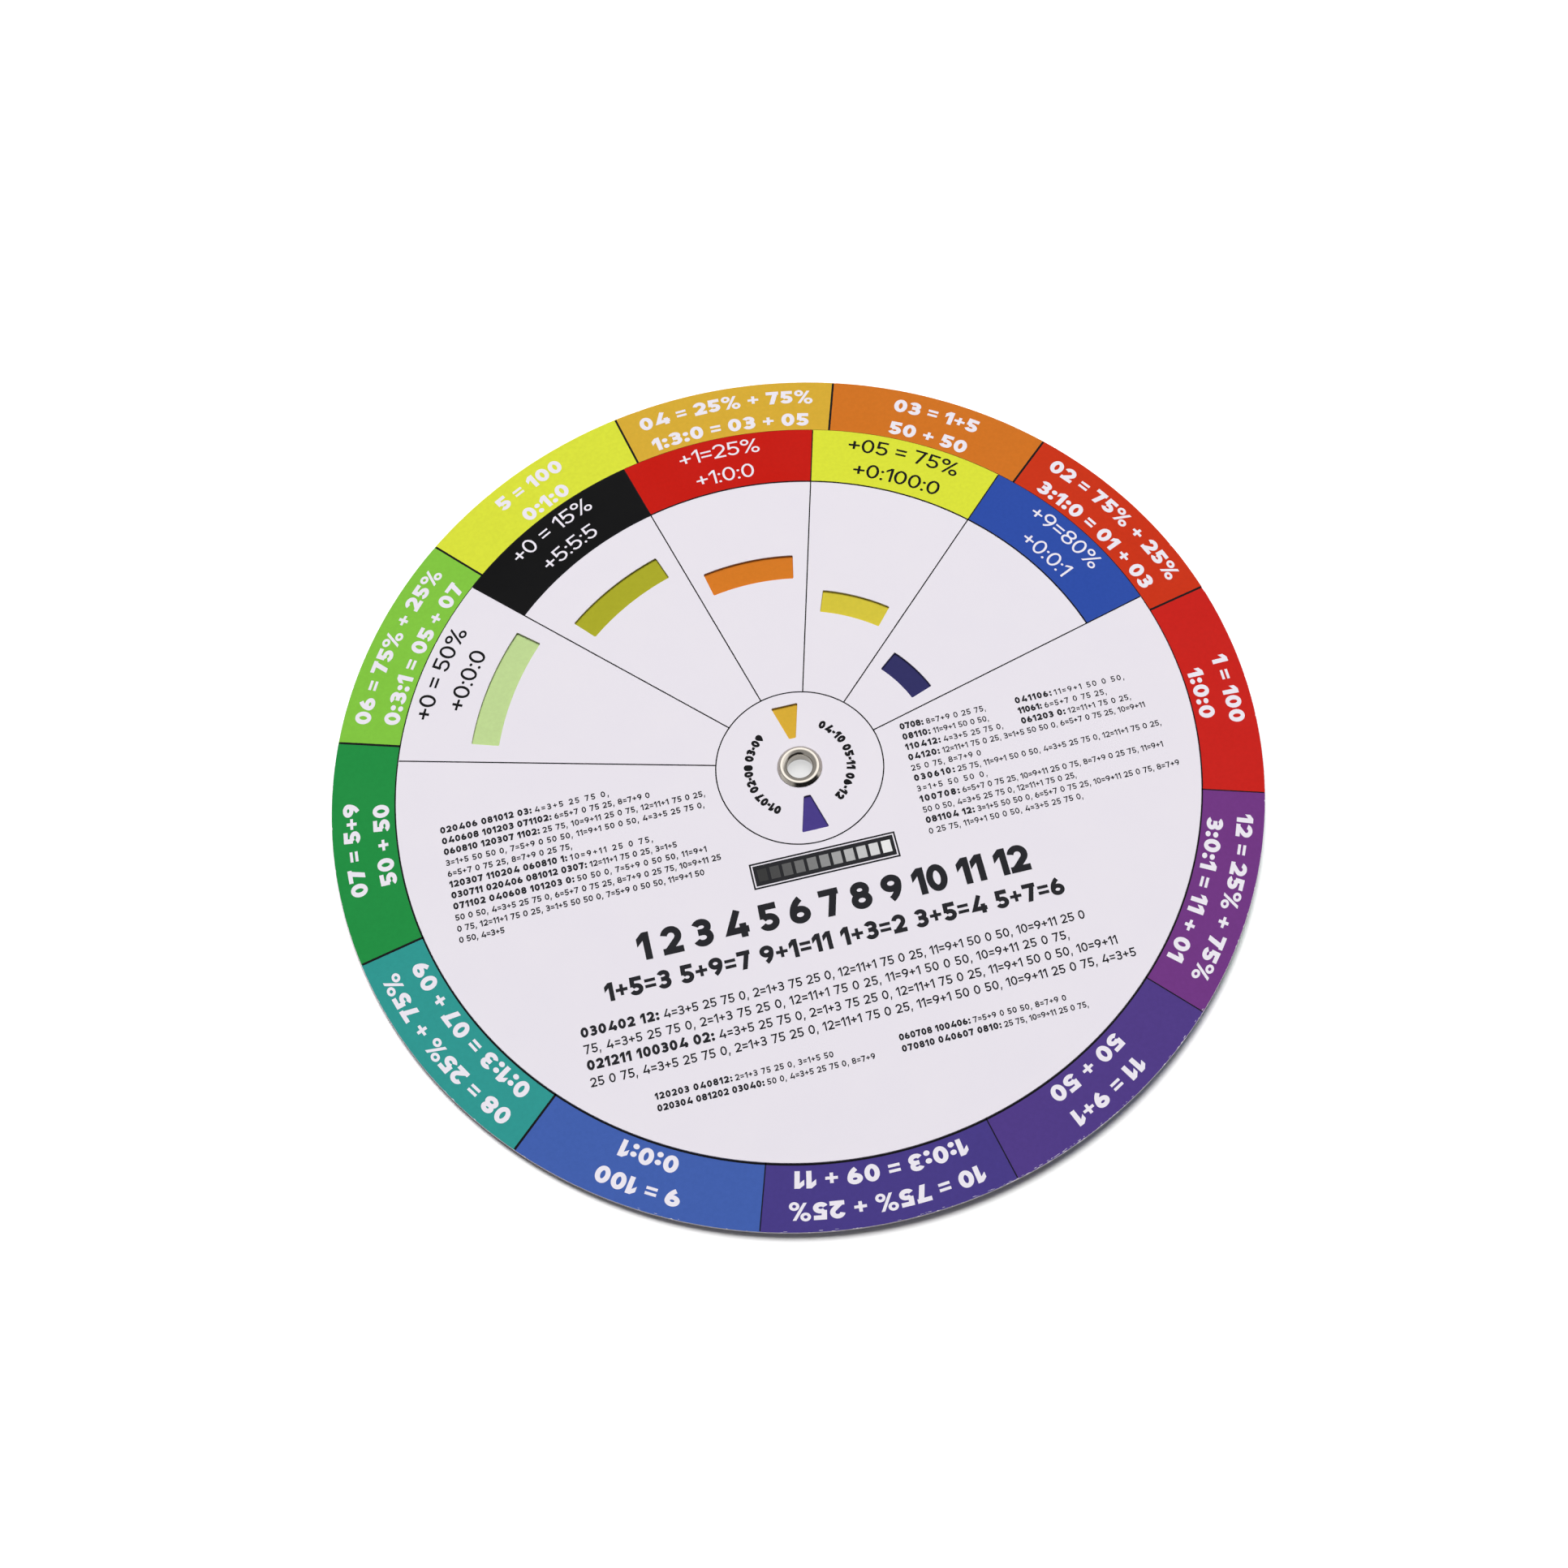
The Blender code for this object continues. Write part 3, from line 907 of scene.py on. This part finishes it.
def nickel():
    """Bright nickel over brass: a warm grey metal, with fine rings left by the drawing punch."""
    material, tree, shader = bare_material("nickel_plate", nickel_colour, Metallic=1.0)
    place = add_node(tree, "TexCoord").outputs["Object"]
    split = add_node(tree, "SeparateXYZ", links={"Vector": place})
    flat = add_node(tree, "CombineXYZ", links={"X": split.outputs["X"], "Y": split.outputs["Y"]})
    radius = add_node(tree, "VectorMath", {"operation": "LENGTH"}, {0: flat})
    rings = add_node(tree, "CombineXYZ", links={"X": radius.outputs["Value"], "Z": split.outputs["Z"]})
    marks = add_node(tree, "TexNoise", {"Scale": 1 / punch_marks, "Detail": 3.0}, {"Vector": rings})
    smears = add_node(tree, "TexNoise", {"Scale": 1 / smear_size, "Detail": 3.0}, {"Vector": place})
    ends = {"From Min": 0.3, "From Max": 0.7, "To Min": nickel_finish[0], "To Max": nickel_finish[1]}
    finish = add_node(tree, "MapRange", ends, {"Value": smears})
    relief = add_node(tree, "Bump", {"Strength": 0.35, "Distance": mark_depth}, {"Height": marks})
    tree.links.new(finish.outputs["Result"], shader.inputs["Roughness"])
    tree.links.new(relief.outputs["Normal"], shader.inputs["Normal"])
    return material


seen = seen_side()
hidden = seen + sideways(seen, False) * eyelet_sheet
hidden[0] = seen[0] - (eyelet_sheet / math.sin(flange_lean), 0)
points, quads = lathe(np.concatenate([seen, hidden[::-1]]), around_steps)
eyelet_mesh = bpy.data.meshes.new("eyelet_drawn")
eyelet_mesh.from_pydata(points, [], quads[:, ::-1])
eyelet_mesh.shade_smooth()
eyelet_mesh.set_sharp_from_angle(angle=math.radians(40))
eyelet_mesh.materials.append(nickel())
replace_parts(carried("eyelet_drawn", eyelet_mesh, "eyelet"), "eyelet")

# The wheel lies on a white table, which runs to a white background and keeps the rim's soft shadow. A
# real wheel tips until its rim nearly touches; here the table leans up to it instead, as far as the
# back dial leaves room. In the bore the table's white is dimmed and a painted glow is added: painted
# light that stands in for what the polished barrel throws down, and evens out the shade there.
table_size, table_drop = 2.0, 0.05 * mm
table_lean, lean_toward = math.radians(0.6), math.radians(174)
table_white, seen_white = 0.85, 1.3
# Inside the bore the table's white is dimmed, and a painted glow of this strength is added out to the
# glow's radius.
painted_bore_white, painted_bore_glow = 0.22, 0.6
painted_glow_radius = 3.4 * mm

table_mesh = bpy.data.meshes.new("table")
corners = np.array([(-1, -1), (1, -1), (1, 1), (-1, 1)]) * table_size / 2
uphill = np.array([math.cos(lean_toward), math.sin(lean_toward)])
roll_middle = (bore_radius + roll_radius) / 2
rises = math.tan(table_lean) * (corners @ uphill - roll_middle) - table_drop
table_mesh.from_pydata(np.column_stack([corners, rises]), [], [(0, 1, 2, 3)])
placed("table", table_mesh)
table_finish, tree, shader = bare_material("white_table", "#FFFFFF")
tree.nodes.remove(shader)
# One where the camera, a reflection or a view through glass meets the table, else zero.
path = add_node(tree, "LightPath").outputs
direct = path["Is Camera Ray"]
for kind in ("Is Glossy Ray", "Is Transmission Ray"):
    direct = add_node(tree, "Math", {"operation": "MAXIMUM"}, {0: direct, 1: path[kind]})
whiter = add_node(tree, "MapRange", {"To Min": table_white, "To Max": seen_white}, {"Value": direct})
place = add_node(tree, "TexCoord").outputs["Object"]
from_axis = add_node(tree, "VectorMath", {"operation": "LENGTH"}, {0: place}).outputs["Value"]
# Painted light in the bore: there the table's white is dimmed and an emission is added for direct rays,
# standing in for light the polished barrel throws down.
painted_glow_mask = add_node(tree, "Math", {"operation": "LESS_THAN", 1: painted_glow_radius}, {0: from_axis})
white = add_node(tree, "Mix", {"data_type": "FLOAT", 3: painted_bore_white}, {0: painted_glow_mask, 2: whiter})
painted_glow_level = add_node(tree, "Math", {"operation": "MULTIPLY", 1: painted_bore_glow}, {0: painted_glow_mask})
strength = add_node(tree, "Math", {"operation": "MULTIPLY"}, {0: painted_glow_level, 1: direct})
matt = add_node(tree, "BsdfDiffuse", links={"Color": white})
glow = add_node(tree, "Emission", links={"Strength": strength})
both = add_node(tree, "AddShader", links={0: matt, 1: glow}).outputs[0]
tree.links.new(both, tree.nodes["Material Output"].inputs["Surface"])
table_mesh.materials.append(table_finish)

# Studio light: one large soft box overhead and behind, in a dim white room. What a reflection meets is
# painted on the room instead: the soft box, a side light at the right, white low down, and the two dark
# legs of the camera stand in front. The lamp itself is kept out of reflections.
room_fill, room_reflected, floor_reflected = 0.11, 0.55, 1.0
# Each zone has its brightness, its azimuth and angle down, and the angles from its middle, in degrees,
# within which it is full and past which it is gone.
side_zone, box_zone = (1.5, 6, 34, 6, 28), (2.35, 80, 25, 11, 27)
stand_zones = (0.02, 263, 68, 20, 38), (0.02, 308, 76, 22, 34)
box_direction, box_distance, box_size, box_power = (78, 31), 10.0, 6.4, 1144.0


def toward(azimuth, down):
    """A unit direction from its azimuth and its angle down from straight up, in degrees."""
    around, lean = math.radians(azimuth), math.radians(down)
    level = math.sin(lean)
    return Vector((math.cos(around) * level, math.sin(around) * level, math.cos(lean)))


world = bpy.data.worlds.new("white_room")
bpy.context.scene.world = world
world.use_nodes = True
room = world.node_tree
bearing = add_node(room, "TexCoord").outputs["Generated"]
upward = add_node(room, "SeparateXYZ", links={"Vector": bearing}).outputs["Z"]
ends = {"From Min": 0.2, "From Max": 0.05, "To Min": room_reflected, "To Max": floor_reflected}
soft = {"interpolation_type": "SMOOTHSTEP", **ends}
reflected = add_node(room, "MapRange", soft, {"Value": upward})
for brightness, azimuth, down, full, gone in (side_zone, box_zone, *stand_zones):
    turned = {"operation": "DOT_PRODUCT", 1: toward(azimuth, down)}
    along = add_node(room, "VectorMath", turned, {0: bearing}).outputs["Value"]
    ends = {"From Min": math.cos(math.radians(gone)), "From Max": math.cos(math.radians(full))}
    soft = {"interpolation_type": "SMOOTHSTEP", **ends}
    share = add_node(room, "MapRange", soft, {"Value": along})
    reflected = add_node(room, "Mix", {"data_type": "FLOAT", 3: brightness}, {0: share, 2: reflected})
path = add_node(room, "LightPath").outputs
links = {0: path["Is Glossy Ray"], 3: reflected}
lit = add_node(room, "Mix", {"data_type": "FLOAT", 2: room_fill}, links)
rays = {0: path["Is Camera Ray"], 1: path["Is Transmission Ray"]}
backdrop = add_node(room, "Math", {"operation": "MAXIMUM"}, rays)
level = add_node(room, "Mix", {"data_type": "FLOAT", 3: 1.0}, {0: backdrop, 2: lit}).outputs[0]
background = room.nodes["Background"].inputs
room.links.new(level, background["Strength"])
background["Color"].default_value = (1, 1, 1, 1)

lamp = bpy.data.lights.new("soft_box", "AREA")
lamp.size, lamp.energy = box_size, box_power
soft_box = placed("soft_box", lamp)
soft_box.location = toward(*box_direction) * box_distance
soft_box.rotation_euler = (-toward(*box_direction)).to_track_quat("-Z", "Y").to_euler()
soft_box.visible_glossy = False

# The camera stands 0.52 m off, with a 47 mm lens. Its place, direction and small roll were fitted to
# the wheel's outline and print in the photograph, whose frame is off the lens's centre.
frame_pixels, focal_pixels, lens_centre = 1932, 2512, (1120, 965)
camera_place, camera_direction = (-0.02919, -0.21577, 0.47037), (0.1068, 0.3986, -0.9109)
camera_roll = math.radians(0.79)
camera_data = bpy.data.cameras.new("camera")
camera_data.sensor_width = 36.0
camera_data.lens = camera_data.sensor_width * focal_pixels / frame_pixels
camera_data.shift_x = (frame_pixels / 2 - lens_centre[0]) / frame_pixels
camera_data.shift_y = (lens_centre[1] - frame_pixels / 2) / frame_pixels
camera_data.clip_start = 0.01
forward = Vector(camera_direction).normalized()
level_right = forward.cross(Vector((0, 0, 1))).normalized()
right = level_right * math.cos(camera_roll) + level_right.cross(forward) * math.sin(camera_roll)
turned = Matrix((right, right.cross(forward), -forward)).transposed().to_4x4()
camera = placed("camera", camera_data)
camera.matrix_world = Matrix.Translation(camera_place) @ turned
bpy.context.scene.camera = camera
bpy.context.scene.view_settings.view_transform = "Standard"
